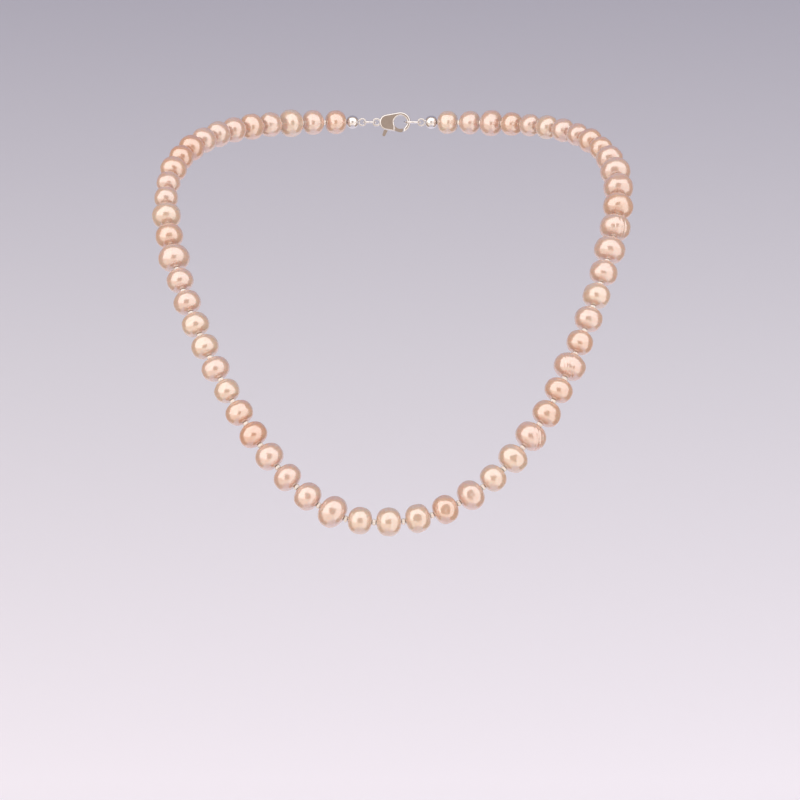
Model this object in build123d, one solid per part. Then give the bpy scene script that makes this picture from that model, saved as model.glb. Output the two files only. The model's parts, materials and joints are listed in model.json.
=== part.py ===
from build123d import *
import os

# Pearl necklace: one strand of drilled freshwater pearls with a small glass seed bead between
# neighbours, knotted into two bead tips and closed at the nape by a lobster clasp.
#
# It is modelled as it is worn. +Z is up, the wearer faces -Y, and X = 0 is the mid-plane.
# The origin is the centre of the neck opening, level with the pearls at the nape.
# All sizes are in millimetres.

# ---- Route of the strand, from the lowest point in front to the middle of the nape ----
FRONT_POINT = (0, -58, -101)
NAPE_POINT = (0, 62.4, 0)
LEFT_ROUTE = [
    (-11.7, -57.2, -100.2), (-23.5, -54.2, -93.1), (-34.0, -49.0, -81.8), (-43.1, -41.5, -68.3),
    (-51.4, -32.0, -52.9), (-58.1, -20.0, -35.7), (-61.4, -4.8, -20.5), (-58.7, 13.0, -10.0),
    (-49.0, 33.0, -3.4), (-28.6, 53.6, -0.4),
]
RIGHT_ROUTE = [
    (11.7, -57.1, -98.8), (23.6, -54.2, -92.2), (34.5, -49.0, -81.7), (43.6, -41.4, -68.1),
    (51.1, -31.8, -52.3), (57.7, -19.8, -35.0), (61.5, -4.9, -19.3), (59.2, 12.9, -8.8),
    (49.4, 33.0, -2.8), (28.8, 53.6, -0.4),
]

# ---- Pearls: a grade letter gives the length along the thread and the width across it ----
GRADES = {
    "s": (5.9, 6.5),  # small and nearly round
    "r": (6.15, 6.9),  # round
    "f": (6.0, 7.2),  # a little flattened
    "o": (6.35, 7.3),  # off-round
    "w": (6.4, 7.7),  # wide
    "b": (6.65, 8.2),  # big, ringed or potato shaped
}
CENTRE_PEARL = "o"
# From the centre pearl up each side, then behind the neck to its bead tip.
LEFT_PEARLS = "rbofoffsfffffbowssoroo" "oowoboo"
RIGHT_PEARLS = "oowrwbofbrooobbbbbosrs" "rrsrwrr"
CENTRE_SHIFT = -0.7  # the centre pearl hangs this far along the strand from the mid-plane
PEARL_HOLE_RADIUS = 0.4

# ---- Seed beads and thread ----
BEAD_LENGTH = 0.86
BEAD_RADIUS = 0.85
BEAD_HOLE_RADIUS = 0.35
BEAD_EDGE = 0.28
BEAD_PLAY = 0.07  # free gap between a seed bead and each pearl beside it
PEARL_GAP = BEAD_LENGTH + 2 * BEAD_PLAY
THREAD_RADIUS = 0.2
THREAD_END_GAP = 0.15  # a thread piece stops this far from the bend at each end
KNOT_RADIUS = 1.0

# ---- Sections that drape: pearls counted from the centre pearl, the same on both sides ----
FRONT_LAST = 3
PEARLS_PER_ROW = 2
ROWS = 10
NAPE_FIRST = FRONT_LAST + PEARLS_PER_ROW * ROWS + 1

# ---- Bead tips: a hollow ball that closes over the knot, with a loop ----
TIP_RADIUS = 2.0
TIP_WALL = 0.35
TIP_SEAM = 0.16
TIP_SEAM_WIDTH = 2.6
TIP_PLAY = 0.15  # between the ball and the last pearl
LOOP_RADIUS = 1.0
LOOP_WIRE = 0.3

# ---- Rings ----
JUMP_RADIUS = 1.9
JUMP_WIRE = 0.35
JUMP_CUT = 0.08
END_RING_RADIUS = 2.4
END_RING_WIRE = 0.4

# ---- Lobster clasp: u runs along it from the eye, v across it, w through its thickness ----
EYE_RADIUS = 1.0
EYE_WIRE = 0.35
EYE_U = -0.8
BODY_LENGTH = 4.75  # as far as the mouth
TAIL_RADIUS = 2.4
BODY_THICKNESS = 2.0
CLAW_U = 6.4
CLAW_OUTER = 3.1
CLAW_INNER = 1.9
CLAW_SEAT = 0.15  # the end ring's curve keeps its wire this far off the claw's middle
CLASP_EDGE = 0.5
SLOT_WIDTH = 1.1
SLOT_START = 0.7
SLOT_TOP = 1.0
PIVOT_U = 2.4
PIVOT_V = -1.3
MOUTH_RADIUS = 5.05  # the claw's tip is cut along the gate's swing, about the pivot
GATE_RADIUS = 4.9
GATE_TOP = -0.5
GATE_INSET = 0.1  # the gate is this much slimmer than the claw on each side
LEVER_THICKNESS = 0.9
HUB_RADIUS = 1.05
WEB_END = (1.9, -0.65)  # from the pivot, where the gate springs from the hub
WEB_RADIUS = 0.6
TAB_ROOT = (-0.2, -0.6)  # the thumb tab, also from the pivot
TAB_END = (-1.0, -2.5)
TAB_ROOT_RADIUS = 0.6
TAB_END_RADIUS = 0.45
RIVET_RADIUS = 0.4
RIVET_HEAD_RADIUS = 0.65
RIVET_HEAD_HEIGHT = 0.15
RIVET_CLEARANCE = 0.06
SPRING_RADIUS = 0.62
SPRING_WIRE = 0.12
SPRING_POCKET = 0.85
SPRING_TURNS = 3
SPRING_SEAT = 0.036
SPRING_PITCH = 0.18

UP = Vector(0, 0, 1)


STRAND = Spline(FRONT_POINT, *RIGHT_ROUTE, NAPE_POINT, *reversed(LEFT_ROUTE), periodic=True)
LEFT = -1
RIGHT = 1


def along(side, distance):
    """The point this far from the front point, up the left or the right half of the route."""
    if side == LEFT:
        distance = STRAND.length - distance
    return STRAND.position_at(distance, position_mode=PositionMode.LENGTH)


def bend_points(side, pearls):
    """Seed bead centres up one side, then the bead tip's centre after the last pearl."""
    distance = (GRADES[CENTRE_PEARL][0] + PEARL_GAP) / 2 + side * CENTRE_SHIFT
    points = [along(side, distance)]
    for grade in pearls[:-1]:
        distance += GRADES[grade][0] + PEARL_GAP
        points.append(along(side, distance))
    distance += PEARL_GAP / 2 + GRADES[pearls[-1]][0] + TIP_PLAY + TIP_RADIUS
    points.append(along(side, distance))
    return points


LEFT_BENDS = bend_points(LEFT, LEFT_PEARLS)
RIGHT_BENDS = bend_points(RIGHT, RIGHT_PEARLS)
SIDES = [(LEFT_BENDS, LEFT_PEARLS), (RIGHT_BENDS, RIGHT_PEARLS)]
# The same bends, each side led by the first bend across the centre pearl.
CHAINS = [[RIGHT_BENDS[0], *LEFT_BENDS], [LEFT_BENDS[0], *RIGHT_BENDS]]
LAST_PEARL = len(LEFT_PEARLS)


# ---- Pearls, beads and thread ----
def pearl(grade, start, end):
    """A drilled pearl on the thread from one bend to the next, clear of the first bead."""
    length, width = GRADES[grade]
    direction = (end - start).normalized()
    centre = start + direction * (PEARL_GAP + length) / 2
    outside_hole = Pos(PEARL_HOLE_RADIUS + width, 0) * Rectangle(2 * width, length)
    outline = Ellipse(width / 2, length / 2) & outside_hole
    return Plane(centre, z_dir=direction) * revolve(Plane.XZ * outline, Axis.Z)


def seed_bead(before, centre, after):
    """A rounded glass bead whose hole halves the thread's bend."""
    direction = (centre - before).normalized() + (after - centre).normalized()
    body = Cylinder(BEAD_RADIUS, BEAD_LENGTH)
    body = fillet(body.edges(), BEAD_EDGE)
    body -= Cylinder(BEAD_HOLE_RADIUS, BEAD_LENGTH)
    return Plane(centre, z_dir=direction.normalized()) * body


def thread_run(start, end, start_gap, end_gap):
    """A straight round run of thread that stops short of its two bends by the gaps."""
    direction = (end - start).normalized()
    length = (end - start).length - start_gap - end_gap
    run = Cylinder(THREAD_RADIUS, length, align=(Align.CENTER, Align.CENTER, Align.MIN))
    return Plane(start + direction * start_gap, z_dir=direction) * run


def thread_piece(points, end_gap=THREAD_END_GAP):
    """Thread through the bends in order, with a round elbow inside each seed bead."""
    last = len(points) - 1
    piece = Part()
    for index in range(last):
        start_gap = THREAD_END_GAP if index == 0 else 0
        stop_gap = end_gap if index == last - 1 else 0
        piece += thread_run(points[index], points[index + 1], start_gap, stop_gap)
    for bend in points[1:last]:
        piece += Pos(*bend) * Sphere(THREAD_RADIUS)
    return piece


def pearls_between(first, last):
    """Pearls from first to last on both sides, counted from the centre pearl."""
    solids = []
    for bends, grades in SIDES:
        for number in range(first, last + 1):
            solids.append(pearl(grades[number - 1], bends[number - 1], bends[number]))
    return solids


def beads_below(first, last):
    """The seed bead on the front side of each pearl from first to last, on both sides."""
    solids = []
    for chain in CHAINS:
        for number in range(first, last + 1):
            solids.append(seed_bead(*chain[number - 1 : number + 2]))
    return solids


def write(name, *solids):
    """Write one node, made of one solid or of several separate ones."""
    shape = Compound(children=list(solids)) if len(solids) > 1 else solids[0]
    shape.label = name
    export_step(shape, f"parts/{name}.step")


def front_section():
    """The lowest pearls, one run of thread across the mid-plane."""
    centre = pearl(CENTRE_PEARL, LEFT_BENDS[0], RIGHT_BENDS[0])
    write("front_pearls", centre, *pearls_between(1, FRONT_LAST))
    write("front_seed_beads", *beads_below(1, FRONT_LAST))
    left_up = LEFT_BENDS[: FRONT_LAST + 1]
    right_up = RIGHT_BENDS[: FRONT_LAST + 1]
    write("front_thread", thread_piece(left_up[::-1] + right_up))


def side_row(row):
    """A pair of matching short runs, one on each side of the neck."""
    last = FRONT_LAST + PEARLS_PER_ROW * row
    first = last - PEARLS_PER_ROW + 1
    write(f"row_{row:02d}_pearls", *pearls_between(first, last))
    write(f"row_{row:02d}_seed_beads", *beads_below(first, last))
    runs = [thread_piece(bends[first - 1 : last + 1]) for bends, _ in SIDES]
    write(f"row_{row:02d}_thread", *runs)


def nape_section():
    """The upper pearls on both sides, whose threads end in knots inside the bead tips."""
    write("nape_pearls", *pearls_between(NAPE_FIRST, LAST_PEARL))
    write("nape_seed_beads", *beads_below(NAPE_FIRST, LAST_PEARL))
    runs = []
    for bends, _ in SIDES:
        run = thread_piece(bends[NAPE_FIRST - 1 :], end_gap=0)
        runs.append(run + Pos(*bends[-1]) * Sphere(KNOT_RADIUS))
    write("nape_thread", *runs)


# ---- Clasp line, straight from one bead tip's ball to the other ----
CLASP_START = LEFT_BENDS[-1]
CLASP_END = RIGHT_BENDS[-1]
CLASP_DIRECTION = (CLASP_END - CLASP_START).normalized()
CLASP_NORMAL = CLASP_DIRECTION.cross(UP).normalized()
CLASP_SPAN = (CLASP_END - CLASP_START).length
LOOP_AT = TIP_RADIUS + LOOP_RADIUS
# Centre distances of linked rings pulled tight, along the clasp line.
TIGHT_LOOP_TO_JUMP = LOOP_RADIUS + JUMP_RADIUS - LOOP_WIRE - JUMP_WIRE
TIGHT_JUMP_TO_EYE = JUMP_RADIUS + EYE_RADIUS - JUMP_WIRE - EYE_WIRE
TIGHT_EYE_TO_RING = CLAW_U + CLAW_INNER - CLAW_SEAT - EYE_U + END_RING_RADIUS - END_RING_WIRE
TIGHT_RING_TO_LOOP = END_RING_RADIUS + LOOP_RADIUS - END_RING_WIRE - LOOP_WIRE
TIGHT_SPAN = (
    2 * LOOP_AT + TIGHT_LOOP_TO_JUMP + TIGHT_JUMP_TO_EYE + TIGHT_EYE_TO_RING + TIGHT_RING_TO_LOOP
)
LINK_PLAY = (TIGHT_SPAN - CLASP_SPAN) / 4  # what is left at each of the four links
JUMP_AT = LOOP_AT + TIGHT_LOOP_TO_JUMP - LINK_PLAY
EYE_AT = JUMP_AT + TIGHT_JUMP_TO_EYE - LINK_PLAY
RING_AT = EYE_AT + TIGHT_EYE_TO_RING - LINK_PLAY


def clasp_line(distance):
    """Frame on the clasp line: x along it, y up, z towards the wearer's neck."""
    origin = CLASP_START + CLASP_DIRECTION * distance
    return Plane(origin, x_dir=CLASP_DIRECTION, z_dir=CLASP_NORMAL)


CLASP_FRAME = clasp_line(EYE_AT - EYE_U)


def bead_tip(ball_at, towards_clasp, last_bend):
    """A clam-shell ball, open along a seam behind, with its loop on the clasp's side."""
    frame = clasp_line(ball_at)
    ball = Sphere(TIP_RADIUS) - Sphere(TIP_RADIUS - TIP_WALL)
    seam = Pos(0, 0, -TIP_RADIUS) * Box(TIP_SEAM_WIDTH, TIP_SEAM, 2 * TIP_RADIUS)
    loop = Pos(towards_clasp * LOOP_AT, 0, 0) * Torus(LOOP_RADIUS, LOOP_WIRE)
    tip = frame * (ball - seam + loop)
    to_pearl = (last_bend - frame.origin).normalized()
    thread_hole = Cylinder(
        BEAD_HOLE_RADIUS, 2 * TIP_RADIUS, align=(Align.CENTER, Align.CENTER, Align.MIN)
    )
    return tip - Plane(frame.origin, z_dir=to_pearl) * thread_hole


def jump_ring():
    """A round wire ring, lying level, with the fine cut where it was opened and closed."""
    ring = Rot(X=90) * Torus(JUMP_RADIUS, JUMP_WIRE)
    cut = Pos(0, 0, JUMP_RADIUS) * Box(JUMP_CUT, 4 * JUMP_WIRE, 4 * JUMP_WIRE)
    return clasp_line(JUMP_AT) * (ring - cut)


def end_ring():
    """A closed soldered ring that the claw hooks onto."""
    return clasp_line(RING_AT) * Rot(X=90) * Torus(END_RING_RADIUS, END_RING_WIRE)


def below_pivot_side(radius):
    """Disc about the pivot, kept on the gate's side of the clasp."""
    side = Pos(CLAW_U, GATE_TOP - CLAW_OUTER) * Rectangle(2 * CLAW_U, 2 * CLAW_OUTER)
    return (Pos(PIVOT_U, PIVOT_V) * Circle(radius)) & side


def clasp_casing():
    """Hollow body and claw in one piece, slotted for the lever, with an eye at its end."""
    tail = Pos(TAIL_RADIUS, 0) * Circle(TAIL_RADIUS)
    claw = Pos(CLAW_U, 0) * Circle(CLAW_OUTER)
    body = make_hull([*tail.edges(), *claw.edges()])
    opening = Pos(CLAW_U, 0) * Circle(CLAW_INNER)
    beyond_body = Pos(BODY_LENGTH + CLAW_U / 2, 0) * Rectangle(CLAW_U, 4 * CLAW_OUTER)
    outline = body - opening - (below_pivot_side(MOUTH_RADIUS) & beyond_body)
    casing = extrude(outline, BODY_THICKNESS / 2, both=True)
    rims = casing.faces().filter_by(Axis.Z).edges()
    casing = fillet(rims, CLASP_EDGE)
    slot_length = CLAW_U - SLOT_START
    slot = Pos(SLOT_START + slot_length / 2, SLOT_TOP - CLAW_OUTER) * Box(
        slot_length, 2 * CLAW_OUTER, SLOT_WIDTH
    )
    casing -= slot
    casing -= Pos(PIVOT_U, PIVOT_V) * Cylinder(RIVET_RADIUS, 2 * BODY_THICKNESS)
    eye = Pos(EYE_U, 0) * Torus(EYE_RADIUS, EYE_WIRE)
    eye -= Pos(SLOT_START + CLAW_U / 2, 0) * Box(CLAW_U, 2 * TAIL_RADIUS, SLOT_WIDTH)
    return CLASP_FRAME * (casing + eye)


def clasp_lever():
    """Thumb tab, hub and gate in one piece: it turns on the rivet and closes the claw."""
    pivot = Pos(PIVOT_U, PIVOT_V)
    ring = Circle(CLAW_OUTER - GATE_INSET) - Circle(CLAW_INNER + GATE_INSET)
    arm = (Pos(CLAW_U, 0) * ring) & below_pivot_side(GATE_RADIUS)
    hub = pivot * Circle(HUB_RADIUS)
    web_end = pivot * Pos(*WEB_END) * Circle(WEB_RADIUS)
    web = make_hull([*hub.edges(), *web_end.edges()])
    tab_root = pivot * Pos(*TAB_ROOT) * Circle(TAB_ROOT_RADIUS)
    tab_end = pivot * Pos(*TAB_END) * Circle(TAB_END_RADIUS)
    tab = make_hull([*tab_root.edges(), *tab_end.edges()])
    lever = extrude(arm + hub + web + tab, LEVER_THICKNESS / 2, both=True)
    lever -= pivot * Cylinder(RIVET_RADIUS + RIVET_CLEARANCE, BODY_THICKNESS)
    pocket = Cylinder(
        SPRING_POCKET, BODY_THICKNESS, align=(Align.CENTER, Align.CENTER, Align.MIN)
    )
    lever -= pivot * Pos(0, 0, -SPRING_WIRE) * pocket
    return CLASP_FRAME * lever


def clasp_rivet():
    """The lever's pin, headed over on both cheeks of the casing."""
    rivet = Cylinder(RIVET_RADIUS, BODY_THICKNESS)
    for side in (-1, 1):
        head_at = side * (BODY_THICKNESS + RIVET_HEAD_HEIGHT) / 2
        rivet += Pos(0, 0, head_at) * Cylinder(RIVET_HEAD_RADIUS, RIVET_HEAD_HEIGHT)
    return CLASP_FRAME * Pos(PIVOT_U, PIVOT_V) * rivet


def clasp_spring():
    """Close-wound torsion spring round the rivet, beside the lever's hub."""
    spring = Part()
    for turn in range(SPRING_TURNS):
        height = SPRING_SEAT + SPRING_PITCH * turn
        spring += Pos(0, 0, height) * Torus(SPRING_RADIUS, SPRING_WIRE)
    return CLASP_FRAME * Pos(PIVOT_U, PIVOT_V) * spring


os.makedirs("parts", exist_ok=True)
front_section()
for row_number in range(1, ROWS + 1):
    side_row(row_number)
nape_section()
write("left_bead_tip", bead_tip(0, 1, LEFT_BENDS[-2]))
write("right_bead_tip", bead_tip(CLASP_SPAN, -1, RIGHT_BENDS[-2]))
write("jump_ring", jump_ring())
write("end_ring", end_ring())
write("clasp_casing", clasp_casing())
write("clasp_lever", clasp_lever())
write("clasp_rivet", clasp_rivet())
write("clasp_spring", clasp_spring())
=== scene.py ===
import json
import math
import random

import bmesh
import bpy
import numpy as np
from mathutils import Matrix, Vector, noise


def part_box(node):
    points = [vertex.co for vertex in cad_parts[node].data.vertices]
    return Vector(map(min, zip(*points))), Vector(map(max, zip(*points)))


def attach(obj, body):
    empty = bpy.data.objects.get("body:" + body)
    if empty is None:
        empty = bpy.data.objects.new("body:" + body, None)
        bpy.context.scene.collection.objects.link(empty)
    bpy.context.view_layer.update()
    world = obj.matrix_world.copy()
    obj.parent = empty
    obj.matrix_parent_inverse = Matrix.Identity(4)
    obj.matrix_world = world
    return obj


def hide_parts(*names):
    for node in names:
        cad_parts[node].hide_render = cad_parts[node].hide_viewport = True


# A pearl necklace as it is worn. +Z is up, the wearer faces -Y, and lengths are in metres.
# Each pearl, seed bead, thread run and finding is built where its CAD solid lies.

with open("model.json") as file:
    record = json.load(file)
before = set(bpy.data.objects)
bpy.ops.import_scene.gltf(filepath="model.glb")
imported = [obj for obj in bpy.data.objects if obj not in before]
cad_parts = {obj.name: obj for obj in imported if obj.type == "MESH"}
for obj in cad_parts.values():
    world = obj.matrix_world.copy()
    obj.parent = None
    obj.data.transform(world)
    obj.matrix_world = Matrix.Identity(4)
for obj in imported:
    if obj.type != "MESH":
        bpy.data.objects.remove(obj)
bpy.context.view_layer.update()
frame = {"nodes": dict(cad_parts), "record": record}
BODIES = frame["record"]["behaviour"]["bodies"]
MM = 0.001

# ---- View: near-frontal, slightly from above ----
CAMERA_ELEVATION = math.radians(7.0)
CAMERA_DISTANCE = 0.5  # from the plane of the lowest pearl
VIEW_WIDTH = 0.2  # width of the picture in that plane
VIEW_RIGHT = 0.0021  # picture centre, to the right of the lowest pearl
VIEW_UP = 0.0305  # and above it
SENSOR_WIDTH = 36.0

# ---- Strand ----
FRONT_LAST = 3  # pearls on each side of the centre pearl in the front section
PEARL_SEGMENTS = 56
PEARL_RINGS = 64
GROOVE_DEPTH = 0.028  # of the pearl's radius
GROOVE_WIDTH = 0.055
GROOVED_RINGS = 120
GROOVED_SEGMENTS = 110
FULLNESS = 2.25  # 2 is a plain ellipsoid, more is fuller towards the drill holes
HOLE_RADIUS = 0.4 * MM
HOLE_MOUTH = 0.5 * MM
MOUTH_STEP = 0.12 * MM  # from the mouth's rim in to the first ring of the tunnel
BEAD_RADIUS = 0.85 * MM
BEAD_LENGTH = 0.86 * MM
BEAD_HOLE = 0.33 * MM
BEAD_SEGMENTS = 20
BEAD_RINGS = 24
BEAD_SQUARENESS = 0.75  # power of the section's sine and cosine; 1 is an ellipse
BEAD_UNROUNDNESS = 0.04  # the most by which a bead is off round
THREAD_RADIUS = 0.2 * MM
THREAD_END_GAP = 0.15 * MM


# ---------------------------------------------------------------- reading the CAD solids
def islands(node):
    """The separate solids of a CAD node, each as an array of its points."""
    mesh = bmesh.new()
    mesh.from_mesh(frame["nodes"][node].data)
    bmesh.ops.remove_doubles(mesh, verts=mesh.verts, dist=1e-7)
    found = []
    seen = set()
    for first in mesh.verts:
        if first in seen:
            continue
        seen.add(first)
        stack = [first]
        points = []
        while stack:
            vert = stack.pop()
            points.append(vert.co[:])
            for edge in vert.link_edges:
                other = edge.other_vert(vert)
                if other not in seen:
                    seen.add(other)
                    stack.append(other)
        found.append(np.array(points))
    mesh.free()
    return found


def box_middle(points):
    return Vector((points.max(0) + points.min(0)) / 2)


def measure(points, axis):
    """Length along an axis and width across it, of a round solid's points."""
    centre = np.array(box_middle(points))
    direction = np.array(axis)
    along = (points - centre) @ direction
    across = np.linalg.norm(points - centre - np.outer(along, direction), axis=1)
    return along.max() - along.min(), 2 * across.max()


def strand_pearls():
    """Every pearl by its number: 0 in front, negative on the -X side, positive on the +X side."""
    pearls = {}
    for body, nodes in BODIES.items():
        node = f"{body}_pearls"
        if node not in nodes:
            continue
        solids = [(box_middle(points), points) for points in islands(node)]
        if body == "front":
            solids.sort(key=lambda solid: solid[0].x)
            for step, solid in enumerate(solids):
                pearls[step - FRONT_LAST] = (body, *solid)
            continue
        per_side = len(solids) // 2
        row = int(body.split("_")[1]) if body != "nape" else ROWS + 1
        lowest = FRONT_LAST + 1 + PEARLS_PER_ROW * (row - 1)
        for side in (-1, 1):
            own = [solid for solid in solids if solid[0].x * side > 0]
            own.sort(key=lambda solid: solid[0].y)
            for step in range(per_side):
                pearls[side * (lowest + step)] = (body, *own[step])
    return pearls


ROWS = sum(body.startswith("row_") for body in BODIES)
PEARLS_PER_ROW = 2
PEARLS = strand_pearls()
LAST_PEARL = max(PEARLS)


def pearl_centre(number):
    return PEARLS[number][1]


def ball_centre(side):
    """Middle of the bead tip's ball at the end of one side of the strand."""
    node = "right_bead_tip" if side > 0 else "left_bead_tip"
    low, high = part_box(node)
    ball_radius = (high.z - low.z) / 2
    x = high.x - ball_radius if side > 0 else low.x + ball_radius
    return Vector((x, (low.y + high.y) / 2, (low.z + high.z) / 2))


def strand_beads():
    """Body and centre of every seed bead, by its side and the number of the pearl before it."""
    beads = []
    for body, nodes in BODIES.items():
        node = f"{body}_seed_beads"
        if node not in nodes:
            continue
        for points in islands(node):
            beads.append((body, box_middle(points)))
    by_place = {}
    for side in (-1, 1):
        for number in range(LAST_PEARL):
            middle = (pearl_centre(side * number) + pearl_centre(side * (number + 1))) / 2
            body, centre = min(beads, key=lambda bead: (bead[1] - middle).length)
            by_place[(side, number)] = (body, centre)
    return by_place


BEADS = strand_beads()


def drill_axis(number):
    """Direction of a pearl's hole, from the bead on its -X side to the bead on its +X side."""
    ends = []
    for end in (number - 1, number):
        side = 1 if end >= 0 else -1
        place = (side, end if end >= 0 else -end - 1)
        ends.append(BEADS[place][1] if place in BEADS else ball_centre(side))
    return (ends[1] - ends[0]).normalized()


# ---------------------------------------------------------------- material helpers
def new_material(name):
    material = bpy.data.materials.new(name)
    material.use_nodes = True
    nodes = material.node_tree.nodes
    return material, nodes, material.node_tree.links, nodes["Principled BSDF"]


def set_inputs(shader, **values):
    for name, value in values.items():
        shader.inputs[name.replace("_", " ")].default_value = value


def noise_node(nodes, links, coordinates, scale, detail=3.0, roughness=0.5):
    texture = nodes.new("ShaderNodeTexNoise")
    set_inputs(texture, Scale=scale, Detail=detail, Roughness=roughness)
    links.new(coordinates, texture.inputs["Vector"])
    return texture.outputs["Fac"]


def ramp_node(nodes, links, factor, stops):
    ramp = nodes.new("ShaderNodeValToRGB")
    elements = ramp.color_ramp.elements
    elements[0].position, elements[0].color = stops[0][0], (*stops[0][1], 1)
    elements[1].position, elements[1].color = stops[-1][0], (*stops[-1][1], 1)
    for position, colour in stops[1:-1]:
        elements.new(position).color = (*colour, 1)
    links.new(factor, ramp.inputs["Fac"])
    return ramp.outputs["Color"]


def range_node(nodes, links, value, low, high):
    mapping = nodes.new("ShaderNodeMapRange")
    set_inputs(mapping, To_Min=low, To_Max=high)
    links.new(value, mapping.inputs["Value"])
    return mapping.outputs["Result"]


def bump_node(nodes, links, height, strength, distance, normal=None):
    bump = nodes.new("ShaderNodeBump")
    set_inputs(bump, Strength=strength, Distance=distance)
    links.new(height, bump.inputs["Height"])
    if normal is not None:
        links.new(normal, bump.inputs["Normal"])
    return bump.outputs["Normal"]


# ---------------------------------------------------------------- materials
NACRE_TONES = {
    "peach": ((0.67, 0.37, 0.25), (0.72, 0.46, 0.34)),
    "cream": ((0.69, 0.46, 0.34), (0.73, 0.55, 0.44)),
    "pink": ((0.67, 0.40, 0.32), (0.72, 0.49, 0.41)),
    "orange": ((0.65, 0.30, 0.17), (0.70, 0.38, 0.25)),
    "blush": ((0.68, 0.42, 0.34), (0.72, 0.51, 0.43)),
}


GROWTH_SHARE = 0.18  # of the growth bands in the colour, beside the cloud


def nacre_material(tone):
    """Freshwater nacre: translucent body colour under a broad lustre and a clear outer layer."""
    deep, light = NACRE_TONES[tone]
    material, nodes, links, shader = new_material(f"nacre_{tone}")
    place = nodes.new("ShaderNodeTexCoord").outputs["Object"]
    cloud = noise_node(nodes, links, place, scale=260.0, detail=2.0)
    growth = nodes.new("ShaderNodeTexWave")
    growth.wave_type = "BANDS"
    growth.bands_direction = "Z"
    set_inputs(growth, Scale=230.0, Distortion=4.0, Detail=2.0)
    growth.inputs["Detail Scale"].default_value = 1.2
    links.new(place, growth.inputs["Vector"])
    mixed = nodes.new("ShaderNodeMath")
    mixed.operation = "MULTIPLY_ADD"
    mixed.inputs[1].default_value = GROWTH_SHARE
    links.new(growth.outputs["Fac"], mixed.inputs[0])
    links.new(cloud, mixed.inputs[2])
    colour = ramp_node(nodes, links, mixed.outputs[0], [(0.32, deep), (0.75, light)])
    links.new(colour, shader.inputs["Base Color"])
    lustre = noise_node(nodes, links, place, scale=520.0, detail=3.0)
    links.new(range_node(nodes, links, lustre, 0.26, 0.40), shader.inputs["Roughness"])
    skin = noise_node(nodes, links, place, scale=1400.0, detail=4.0, roughness=0.6)
    ripple = bump_node(nodes, links, growth.outputs["Fac"], 0.10, 0.05 * MM)
    links.new(bump_node(nodes, links, skin, 0.12, 0.03 * MM, ripple), shader.inputs["Normal"])
    set_inputs(
        shader, Metallic=0.1, IOR=1.68, Subsurface_Weight=0.3, Subsurface_Scale=1.2 * MM,
        Coat_Weight=1.0, Coat_Roughness=0.18, Coat_IOR=4.0,
        Sheen_Weight=0.06, Sheen_Roughness=0.5,
    )
    shader.inputs["Subsurface Radius"].default_value = (1.0, 0.45, 0.28)
    shader.inputs["Sheen Tint"].default_value = (1.0, 0.72, 0.55, 1)
    return material


def glass_material():
    """Milky pressed glass with a bright surface, as small seed beads have."""
    material, nodes, links, shader = new_material("seed_bead_glass")
    place = nodes.new("ShaderNodeTexCoord").outputs["Object"]
    cloud = noise_node(nodes, links, place, scale=900.0, detail=2.0)
    colour = ramp_node(nodes, links, cloud, [(0.3, (0.95, 0.88, 0.85)), (0.7, (1.0, 0.96, 0.94))])
    links.new(colour, shader.inputs["Base Color"])
    links.new(range_node(nodes, links, cloud, 0.05, 0.16), shader.inputs["Roughness"])
    links.new(bump_node(nodes, links, cloud, 0.2, 0.04 * MM), shader.inputs["Normal"])
    set_inputs(
        shader, IOR=1.55, Subsurface_Weight=0.6, Subsurface_Scale=0.4 * MM,
        Coat_Weight=1.0, Coat_Roughness=0.08, Coat_IOR=1.8,
    )
    shader.inputs["Subsurface Radius"].default_value = (1.0, 0.85, 0.8)
    return material


def thread_material():
    """White beading silk with fine fibres along each ply."""
    material, nodes, links, shader = new_material("beading_silk")
    place = nodes.new("ShaderNodeTexCoord").outputs["Object"]
    fibre = noise_node(nodes, links, place, scale=9000.0, detail=2.0)
    colour = ramp_node(nodes, links, fibre, [(0.3, (0.80, 0.76, 0.70)), (0.7, (0.94, 0.92, 0.88))])
    links.new(colour, shader.inputs["Base Color"])
    links.new(bump_node(nodes, links, fibre, 0.5, 0.02 * MM), shader.inputs["Normal"])
    set_inputs(shader, Roughness=0.6, Sheen_Weight=0.4, Sheen_Roughness=0.4)
    return material


def metal_material(name, colour, low_gloss, high_gloss, scratch_scale):
    """Polished plating with faint handling marks."""
    material, nodes, links, shader = new_material(name)
    place = nodes.new("ShaderNodeTexCoord").outputs["Object"]
    smear = noise_node(nodes, links, place, scale=600.0, detail=3.0)
    tint = ramp_node(nodes, links, smear, [(0.3, tuple(0.93 * c for c in colour)), (0.7, colour)])
    links.new(tint, shader.inputs["Base Color"])
    links.new(range_node(nodes, links, smear, low_gloss, high_gloss), shader.inputs["Roughness"])
    marks = noise_node(nodes, links, place, scratch_scale, detail=5.0, roughness=0.7)
    links.new(bump_node(nodes, links, marks, 0.08, 0.01 * MM), shader.inputs["Normal"])
    set_inputs(shader, Metallic=1.0)
    return material


NACRE = {tone: nacre_material(tone) for tone in NACRE_TONES}
GLASS = glass_material()
SILK = thread_material()
PLATING = metal_material("polished_plating", (0.86, 0.86, 0.88), 0.06, 0.16, 5000.0)
SPRING_STEEL = metal_material("spring_steel", (0.62, 0.61, 0.60), 0.2, 0.32, 8000.0)


# ---------------------------------------------------------------- mesh helpers
def link_mesh(name, verts, faces, material, body, slot, *nodes):
    """A smooth mesh object that rides a body and stands for its CAD nodes."""
    mesh = bpy.data.meshes.new(name)
    mesh.from_pydata([tuple(v) for v in verts], [], faces)
    mesh.validate()
    mesh.shade_smooth()
    mesh.materials.append(material)
    piece = bpy.data.objects.new(name, mesh)
    bpy.context.scene.collection.objects.link(piece)
    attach(piece, body)
    if nodes:
        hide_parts(*nodes)
    return piece


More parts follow.
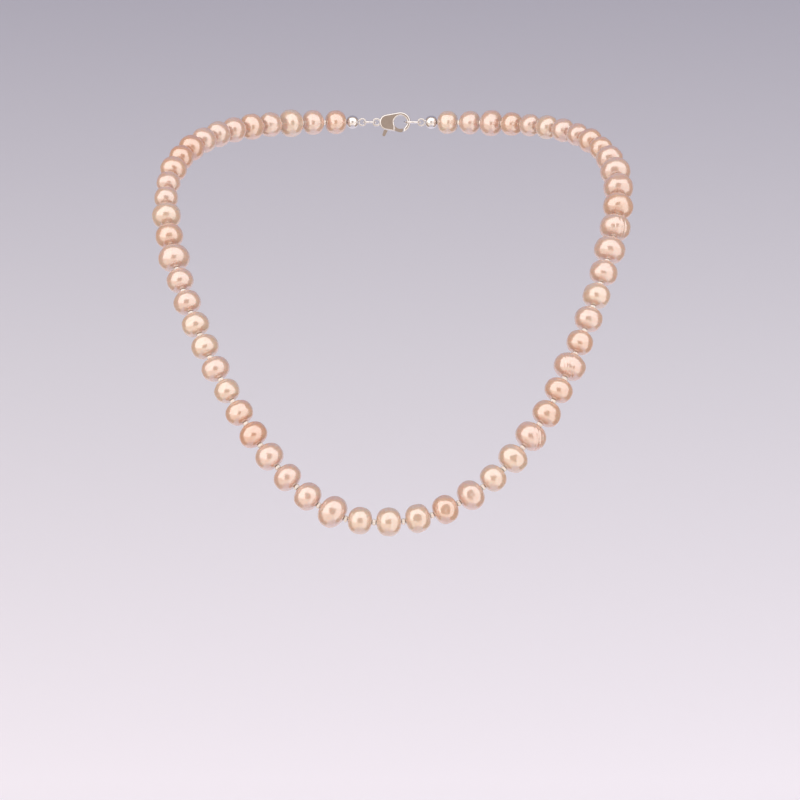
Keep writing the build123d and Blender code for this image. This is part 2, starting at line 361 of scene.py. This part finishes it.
def frame_matrix(origin, axis, front):
    """Axes with z along the axis and x as near to the front direction as it can be."""
    z = axis.normalized()
    x = (front - z * front.dot(z)).normalized()
    y = z.cross(x)
    matrix = Matrix((x, y, z)).transposed().to_4x4()
    matrix.translation = origin
    return matrix


def closed_revolution(rings):
    """Quads for rings of equal length that close on themselves both ways."""
    count = len(rings)
    size = len(rings[0])
    verts = [point for ring in rings for point in ring]
    faces = []
    for i in range(count):
        for j in range(size):
            a = i * size + j
            b = i * size + (j + 1) % size
            c = (i + 1) % count * size + (j + 1) % size
            d = (i + 1) % count * size + j
            faces.append((a, b, c, d))
    return verts, faces


def add_part(verts, faces, own_verts, own_faces):
    """Joins one closed part's points and faces to those of its piece."""
    start = len(verts)
    verts += own_verts
    faces += [tuple(start + i for i in face) for face in own_faces]


# ---------------------------------------------------------------- pearls
TOWARDS_VIEWER = Vector((0, -math.cos(CAMERA_ELEVATION), math.sin(CAMERA_ELEVATION)))
VIEW_UPWARDS = Vector((0, math.sin(CAMERA_ELEVATION), math.cos(CAMERA_ELEVATION)))

# What single pearls show: shape tilted about the line of sight (degrees), an egg shape,
# a dimple facing front, and ring grooves about an axis that leans off the drill hole.
MARKS = {
    -10: {"dimple": 0.03},
    -2: {"tilt": 8, "egg": -0.03},
    1: {"dimple": 0.035},
    2: {"dimple": 0.06},
    3: {"dimple": 0.05},
    6: {"lean": 50, "grooves": (0.12, 0.34, 0.56)},
    7: {"egg": 0.06},
    9: {"lean": 65, "grooves": (-0.5, -0.34, -0.18, -0.02)},
    10: {"dimple": 0.03},
    13: {"dimple": 0.04},
    15: {"lean": 70, "grooves": (-0.3, 0.15, 0.4)},
    17: {"dimple": 0.07},
}
# Tone of each pearl from the centre up each side; the ones behind the neck repeat the mix.
TONE_LETTERS = {"o": "orange", "p": "peach", "b": "blush", "c": "cream", "k": "pink"}
LEFT_TONES = "cbbkbopcbccbbbpcbkpoobbkpbcbp"
RIGHT_TONES = "cpbcckppkpbcbbbpkbkppkbcbpkbc"


PEARL_SEED = 1000
BEAD_SEED = 5000
FLATNESS = (0.0, 0.05)  # least and most by which a pearl is thinner front to back
OVALNESS = (-0.02, 0.015)  # and wider across that
LUMPINESS = (0.016, 0.038)  # height of the low lumps, of the pearl's radius
LUMP_SCALE = 1.5
FINE_LUMP_SCALE = 3.3
FINE_LUMP_SHARE = 0.45
DIMPLE_REACH = 0.30  # angles in radians from the middle of a dimple
RIM_PLACE = 0.55
RIM_REACH = 0.16
RIM_SHARE = 0.35  # height of the raised rim round a dimple, of its depth
NOISE_REACH = 50  # how far apart the pearls' patches of noise are drawn


def pearl_tone(number):
    if number == 0:
        return "cream"
    letters = RIGHT_TONES if number > 0 else LEFT_TONES
    return TONE_LETTERS[letters[abs(number) - 1]]


def pearl_shape(direction, mark, half_length, half_width, bumps, offset):
    """The plain skin's distance along a direction from the middle, and the share to add to it."""
    tilt = math.radians(mark.get("tilt", 0))
    x, y, z = direction
    y, z = y * math.cos(tilt) - z * math.sin(tilt), y * math.sin(tilt) + z * math.cos(tilt)
    flat, oval, height = bumps
    across = math.hypot(x / (half_width * (1 - flat)), y / (half_width * (1 + oval)))
    radius = (across**FULLNESS + abs(z / half_length) ** FULLNESS) ** (-1 / FULLNESS)
    lump = noise.noise(direction * LUMP_SCALE + offset) * height
    lump += noise.noise(direction * FINE_LUMP_SCALE + offset) * height * FINE_LUMP_SHARE
    lump += mark.get("egg", 0) * direction[1]
    lean = math.radians(mark.get("lean", 0))
    level = direction[2] * math.cos(lean) + direction[1] * math.sin(lean)
    for groove in mark.get("grooves", ()):
        lump -= GROOVE_DEPTH * math.exp(-(((level - groove) / GROOVE_WIDTH) ** 2))
    if "dimple" in mark:
        away = math.acos(max(-1, min(1, direction[0])))
        lump -= mark["dimple"] * math.exp(-((away / DIMPLE_REACH) ** 2))
        rim = math.exp(-(((away - RIM_PLACE) / RIM_REACH) ** 2))
        lump += RIM_SHARE * mark["dimple"] * rim
    return radius, lump


def make_pearl(number):
    """One drilled pearl with its own small faults, in its own axes."""
    body, centre, points = PEARLS[number]
    axis = drill_axis(number)
    length, width = measure(points, axis)
    draw = random.Random(PEARL_SEED + number)
    mark = MARKS.get(number, {})
    offset = Vector([draw.uniform(-NOISE_REACH, NOISE_REACH) for _ in range(3)])
    bumps = tuple(draw.uniform(*limits) for limits in (FLATNESS, OVALNESS, LUMPINESS))
    half_width = width / 2
    half_length = length / 2 / math.sqrt(1 - (HOLE_RADIUS / half_width) ** 2)
    start = math.asin(HOLE_MOUTH / half_width)
    ring_count = GROOVED_RINGS if "grooves" in mark else PEARL_RINGS
    segments = GROOVED_SEGMENTS if "grooves" in mark else PEARL_SEGMENTS
    rings = []
    for step in range(ring_count + 1):
        polar = start + (math.pi - 2 * start) * step / ring_count
        edge = min(1, (math.sin(polar) / math.sin(start) - 1) / 3)
        keep = edge * edge * (3 - 2 * edge)
        ring = []
        for turn in range(segments):
            around = math.tau * turn / segments
            flat_point = Vector((
                half_width * math.sin(polar) * math.cos(around),
                half_width * math.sin(polar) * math.sin(around),
                half_length * math.cos(polar),
            ))
            direction = flat_point.normalized()
            radius, lump = pearl_shape(
                direction, mark, half_length, half_width, bumps, offset
            )
            skin = direction * (radius * (1 + lump))
            ring.append(flat_point.lerp(skin, keep))
        rings.append(ring)
    tunnel_top = rings[0][0].z - MOUTH_STEP
    for height in (-tunnel_top, -tunnel_top * 0.4, tunnel_top * 0.4, tunnel_top):
        rings.append([
            Vector((
                HOLE_RADIUS * math.cos(math.tau * turn / segments),
                HOLE_RADIUS * math.sin(math.tau * turn / segments),
                height,
            ))
            for turn in range(segments)
        ])
    verts, faces = closed_revolution(rings)
    faces = [face[::-1] for face in faces]
    side = "c" if number == 0 else ("l" if number < 0 else "r")
    name = f"pearl_{side}{abs(number):02d}"
    nacre = NACRE[pearl_tone(number)]
    piece = link_mesh(name, verts, faces, nacre, body, "pearl", f"{body}_pearls")
    piece.matrix_world = frame_matrix(centre, axis, TOWARDS_VIEWER)


# ---------------------------------------------------------------- seed beads
def bead_rings(matrix, wobble):
    """Rings of one rounded glass bead, closed through its hole."""
    rings = []
    half = BEAD_LENGTH / 2
    bulge = (BEAD_RADIUS - BEAD_HOLE) / 2
    middle = (BEAD_RADIUS + BEAD_HOLE) / 2
    for step in range(BEAD_RINGS):
        angle = math.tau * step / BEAD_RINGS
        out = math.copysign(abs(math.cos(angle)) ** BEAD_SQUARENESS, math.cos(angle))
        up = math.copysign(abs(math.sin(angle)) ** BEAD_SQUARENESS, math.sin(angle))
        radius = middle + bulge * out
        ring = []
        for turn in range(BEAD_SEGMENTS):
            around = math.tau * turn / BEAD_SEGMENTS
            spread = radius * (1 + wobble * math.cos(2 * around) * max(out, 0))
            local = Vector((spread * math.cos(around), spread * math.sin(around), half * up))
            ring.append(matrix @ local)
        rings.append(ring)
    return rings


def make_beads(body):
    """The seed beads of one body, in one piece."""
    verts, faces = [], []
    for (side, number), (owner, centre) in BEADS.items():
        if owner != body:
            continue
        axis = pearl_centre(side * (number + 1)) - pearl_centre(side * number)
        draw = random.Random(BEAD_SEED + side * number)
        matrix = frame_matrix(centre, axis, TOWARDS_VIEWER)
        wobble = draw.uniform(0, BEAD_UNROUNDNESS)
        add_part(verts, faces, *closed_revolution(bead_rings(matrix, wobble)))
    link_mesh(
        f"seed_beads_{body}", verts, faces, GLASS, body, "seed_bead", f"{body}_seed_beads"
    )


# ---------------------------------------------------------------- thread
PLIES = 3
PLY_RADIUS = 0.1 * MM
TWIST_PITCH = 1.3 * MM
PLY_STEP = 0.14 * MM
PLY_SIDES = 8
KNOT_STEPS = 72
KNOT_SIZE = 0.24  # millimetres for one unit of the curve
KNOT_DEPTH = 1.4  # along the thread, in the curve's units


def ply_tube(path, ply):
    """One ply of the twisted thread round a path of points, closed at both ends."""
    turns = 0.0
    centres = []
    directions = []
    for i, point in enumerate(path):
        before = path[max(i - 1, 0)]
        after = path[min(i + 1, len(path) - 1)]
        direction = (after - before).normalized()
        if i:
            turns += (point - path[i - 1]).length / TWIST_PITCH
        angle = math.tau * (turns + ply / PLIES)
        side = frame_matrix(point, direction, TOWARDS_VIEWER)
        reach = THREAD_RADIUS - PLY_RADIUS
        centres.append(side @ Vector((reach * math.cos(angle), reach * math.sin(angle), 0)))
        directions.append(direction)
    verts = []
    for centre, direction in zip(centres, directions):
        side = frame_matrix(centre, direction, TOWARDS_VIEWER)
        for j in range(PLY_SIDES):
            around = math.tau * j / PLY_SIDES
            verts.append(
                side @ Vector((PLY_RADIUS * math.cos(around), PLY_RADIUS * math.sin(around), 0))
            )
    faces = []
    for i in range(len(path) - 1):
        for j in range(PLY_SIDES):
            a = i * PLY_SIDES + j
            b = i * PLY_SIDES + (j + 1) % PLY_SIDES
            faces.append((a, b, b + PLY_SIDES, a + PLY_SIDES))
    faces.append(tuple(range(PLY_SIDES))[::-1])
    last = (len(path) - 1) * PLY_SIDES
    faces.append(tuple(range(last, last + PLY_SIDES)))
    return verts, faces


def stepped_path(bends, start_gap, end_gap):
    """Points at even steps along straight runs from bend to bend, short of both ends."""
    points = []
    for i in range(len(bends) - 1):
        direction = (bends[i + 1] - bends[i]).normalized()
        start = bends[i] + direction * (start_gap if i == 0 else 0)
        end = bends[i + 1] - direction * (end_gap if i == len(bends) - 2 else 0)
        count = max(2, round((end - start).length / PLY_STEP))
        last_step = count + 1 if i == len(bends) - 2 else count
        points += [start.lerp(end, step / count) for step in range(last_step)]
    return points


def knot_path(centre, axis):
    """A tight overhand knot: a small trefoil curve round the end of the thread."""
    matrix = frame_matrix(centre, axis, TOWARDS_VIEWER)
    points = []
    for step in range(KNOT_STEPS + 1):
        t = math.tau * step / KNOT_STEPS
        points.append(matrix @ (Vector((
            math.sin(t) + 2 * math.sin(2 * t),
            math.cos(t) - 2 * math.cos(2 * t),
            -KNOT_DEPTH * math.sin(3 * t),
        )) * KNOT_SIZE * MM))
    return points


def side_bends(side, first, last):
    """Bend points of one side's thread, from below pearl first to above pearl last."""
    numbers = range(first - 1, min(last, LAST_PEARL - 1) + 1)
    bends = [BEADS[(side, number)][1] for number in numbers]
    if last == LAST_PEARL:
        bends.append(ball_centre(side))
    return bends


def make_thread(body):
    """The thread of one body: a run on each side, or one run through the whole front."""
    if body == "front":
        left = side_bends(-1, 1, FRONT_LAST)
        right = side_bends(1, 1, FRONT_LAST)
        paths = [stepped_path(left[::-1] + right, THREAD_END_GAP, THREAD_END_GAP)]
    elif body == "nape":
        first = FRONT_LAST + PEARLS_PER_ROW * ROWS + 1
        paths = []
        for side in (-1, 1):
            bends = side_bends(side, first, LAST_PEARL)
            paths.append(stepped_path(bends, THREAD_END_GAP, 0))
            paths.append(knot_path(bends[-1], bends[-1] - bends[-2]))
    else:
        last = FRONT_LAST + PEARLS_PER_ROW * int(body.split("_")[1])
        first = last - PEARLS_PER_ROW + 1
        paths = [
            stepped_path(side_bends(side, first, last), THREAD_END_GAP, THREAD_END_GAP)
            for side in (-1, 1)
        ]
    verts, faces = [], []
    for path in paths:
        for ply in range(PLIES):
            add_part(verts, faces, *ply_tube(path, ply))
    link_mesh(f"thread_{body}", verts, faces, SILK, body, "thread", f"{body}_thread")


# ---------------------------------------------------------------- clasp and rings
FINDING_BODIES = ("nape", "jump_ring", "end_ring", "clasp", "clasp_lever")
STRUNG = ("nape_pearls", "nape_seed_beads", "nape_thread")


def dress_findings():
    """The CAD findings keep their shape and get the plating."""
    for body in FINDING_BODIES:
        for node in BODIES[body]:
            if node in STRUNG:
                continue
            obj = frame["nodes"][node]
            obj.data.materials.clear()
            obj.data.materials.append(SPRING_STEEL if node == "clasp_spring" else PLATING)


# ---------------------------------------------------------------- stage, light and camera
FLOOR_Z = -0.95
BACKDROP_Y = 0.42
PAINTED_SHADE_LOW = -0.32  # painted shade on the paper starts from near white at this height
PAINTED_SHADE_HIGH = 0.10  # and darkens it to lavender grey at this one, for light falling off upwards
COVE_RADIUS = 0.3
STAGE_HALF = 0.45
FLOOR_FRONT = -1.2
BACKDROP_TOP = 1.5
COVE_STEPS = 16
# Painted shade: the paper's colour darkens with height, standing in for light falling off towards
# the top
PAPER_PAINTED_SHADE = [(0.0, (0.80, 0.83, 0.97)), (0.5, (0.56, 0.59, 0.70)), (1.0, (0.30, 0.315, 0.41))]


def make_stage():
    """A pale floor that curves up into a backdrop, with painted shade that darkens it towards the
    top.
    """
    profile = [(FLOOR_FRONT, FLOOR_Z)]
    for step in range(COVE_STEPS + 1):
        angle = math.pi / 2 * step / COVE_STEPS
        profile.append((
            BACKDROP_Y - COVE_RADIUS + COVE_RADIUS * math.sin(angle),
            FLOOR_Z + COVE_RADIUS - COVE_RADIUS * math.cos(angle),
        ))
    profile.append((BACKDROP_Y, BACKDROP_TOP))
    verts = [(x, y, z) for y, z in profile for x in (-STAGE_HALF, STAGE_HALF)]
    faces = [(2 * i, 2 * i + 1, 2 * i + 3, 2 * i + 2) for i in range(len(profile) - 1)]
    material, nodes, links, shader = new_material("stage_paper_painted_shade")
    place = nodes.new("ShaderNodeTexCoord").outputs["Object"]
    split = nodes.new("ShaderNodeSeparateXYZ")
    links.new(place, split.inputs["Vector"])
    height = nodes.new("ShaderNodeMapRange")
    set_inputs(height, From_Min=PAINTED_SHADE_LOW, From_Max=PAINTED_SHADE_HIGH)
    links.new(split.outputs["Z"], height.inputs["Value"])
    # Painted shade: near white low down, darkening to lavender grey higher up
    colour = ramp_node(nodes, links, height.outputs["Result"], PAPER_PAINTED_SHADE)
    links.new(colour, shader.inputs["Base Color"])
    grain = noise_node(nodes, links, place, scale=900.0, detail=2.0)
    links.new(bump_node(nodes, links, grain, 0.05, 0.1 * MM), shader.inputs["Normal"])
    set_inputs(shader, Roughness=0.85)
    shader.inputs["Specular IOR Level"].default_value = 0.2
    mesh = bpy.data.meshes.new("stage")
    mesh.from_pydata(verts, [], faces)
    mesh.shade_smooth()
    mesh.materials.append(material)
    stage = bpy.data.objects.new("stage", mesh)
    bpy.context.scene.collection.objects.link(stage)


TARGET = Vector((0, -0.02, -0.05))
PANEL_DISTANCE = 0.5
PANEL_HOLE = 0.18  # half the width of the square gap that the lens looks through
PANEL_EDGE = 2.6  # half the width of the whole wall of light
WARM_WHITE = (1.0, 0.975, 0.95)
COOL_WHITE = (0.98, 0.99, 1.0)
BOUNCE = (1.0, 0.92, 0.82)
# Radiance and colour of each panel, turning from the +X side over the top.
PANELS = {
    "right_panel": (0.78, WARM_WHITE),
    "top_panel": (0.95, COOL_WHITE),
    "left_panel": (1.10, WARM_WHITE),
    "low_panel": (0.62, BOUNCE),
}
ROOM_COLOUR = (0.95, 0.72, 0.57, 1)
ROOM_STRENGTH = 0.48


def light_panel(name, turn, radiance, colour):
    """One of four rectangular panels that make a square ring of light round the lens."""
    light = bpy.data.lights.new(name, "AREA")
    light.shape = "RECTANGLE"
    light.size = PANEL_EDGE + PANEL_HOLE
    light.size_y = PANEL_EDGE - PANEL_HOLE
    light.energy = radiance * math.pi * light.size * light.size_y
    light.color = colour
    lamp = bpy.data.objects.new(name, light)
    out = Vector((math.cos(turn), 0, 0)) + VIEW_UPWARDS * math.sin(turn)
    side = out.cross(TOWARDS_VIEWER)
    matrix = Matrix((side, out, TOWARDS_VIEWER)).transposed().to_4x4()
    matrix.translation = (
        TARGET + TOWARDS_VIEWER * PANEL_DISTANCE
        + out * (PANEL_EDGE + PANEL_HOLE) / 2 + side * (PANEL_EDGE - PANEL_HOLE) / 2
    )
    lamp.matrix_world = matrix
    lamp.visible_camera = False
    bpy.context.scene.collection.objects.link(lamp)


def make_lights():
    """A wall of soft light with a gap where the lens looks in, and a dim warm room."""
    for step, (name, (radiance, colour)) in enumerate(PANELS.items()):
        light_panel(name, step * math.pi / 2, radiance, colour)
    world = bpy.data.worlds.new("studio")
    world.use_nodes = True
    background = world.node_tree.nodes["Background"]
    background.inputs["Color"].default_value = ROOM_COLOUR
    background.inputs["Strength"].default_value = ROOM_STRENGTH
    bpy.context.scene.world = world


def make_camera():
    """Long lens, square on to the front of the strand and a little above it."""
    data = bpy.data.cameras.new("camera")
    data.sensor_width = SENSOR_WIDTH
    data.lens = SENSOR_WIDTH * CAMERA_DISTANCE / VIEW_WIDTH
    camera = bpy.data.objects.new("camera", data)
    lowest = pearl_centre(0).copy()
    lowest.x = 0
    centre = lowest + Vector((VIEW_RIGHT, 0, 0)) + VIEW_UPWARDS * VIEW_UP
    camera.location = centre + TOWARDS_VIEWER * CAMERA_DISTANCE
    camera.rotation_mode = "QUATERNION"
    camera.rotation_quaternion = TOWARDS_VIEWER.to_track_quat("Z", "Y")
    bpy.context.scene.collection.objects.link(camera)
    bpy.context.scene.camera = camera


for pearl_number in sorted(PEARLS):
    make_pearl(pearl_number)
for body_name in BODIES:
    if f"{body_name}_pearls" in BODIES[body_name]:
        make_beads(body_name)
        make_thread(body_name)
dress_findings()
make_stage()
make_lights()
make_camera()
bpy.context.scene.view_settings.view_transform = "Standard"

bpy.context.view_layer.update()
